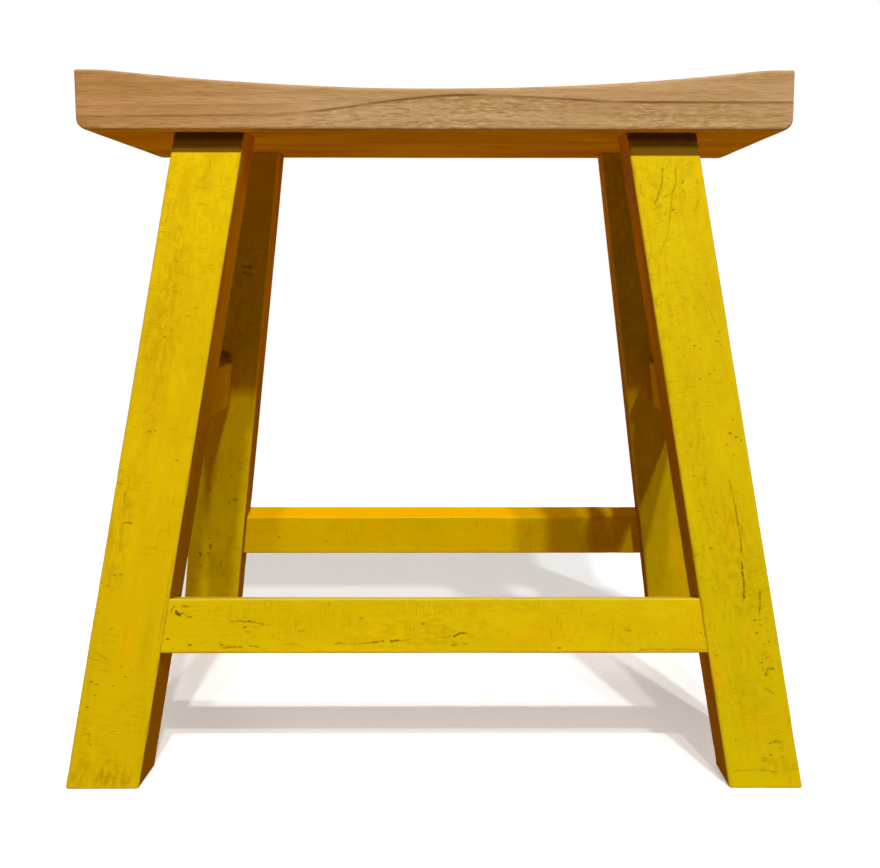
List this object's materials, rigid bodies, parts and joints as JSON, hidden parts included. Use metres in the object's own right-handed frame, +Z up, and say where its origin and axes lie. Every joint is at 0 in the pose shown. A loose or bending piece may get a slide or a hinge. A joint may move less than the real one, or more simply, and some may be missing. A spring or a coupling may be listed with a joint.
{
  "type": "saddle stool",
  "caption": "Low wooden stool with a dished plank seat on splayed, painted legs tied by stretchers at two heights.",
  "frame": {"origin": "on the floor, under the middle of the seat", "axes": "+X to the right along the seat's length, +Y from the front to the back, +Z up"},
  "size_m": [0.4714, 0.3628, 0.458],
  "materials": {
    "seat_wood": "light brown hardwood, fine straight grain, clear matt oil",
    "yellow_paint": "thin yellow paint over wood, rubbed through at edges, knots and saw marks"
  },
  "bodies": {
    "root": {"seat": "seat_wood", "front_left_leg": "yellow_paint", "front_right_leg": "yellow_paint", "back_left_leg": "yellow_paint", "back_right_leg": "yellow_paint", "front_stretcher": "yellow_paint", "back_stretcher": "yellow_paint", "left_side_stretcher": "yellow_paint", "right_side_stretcher": "yellow_paint"}
  },
  "joints": []
}
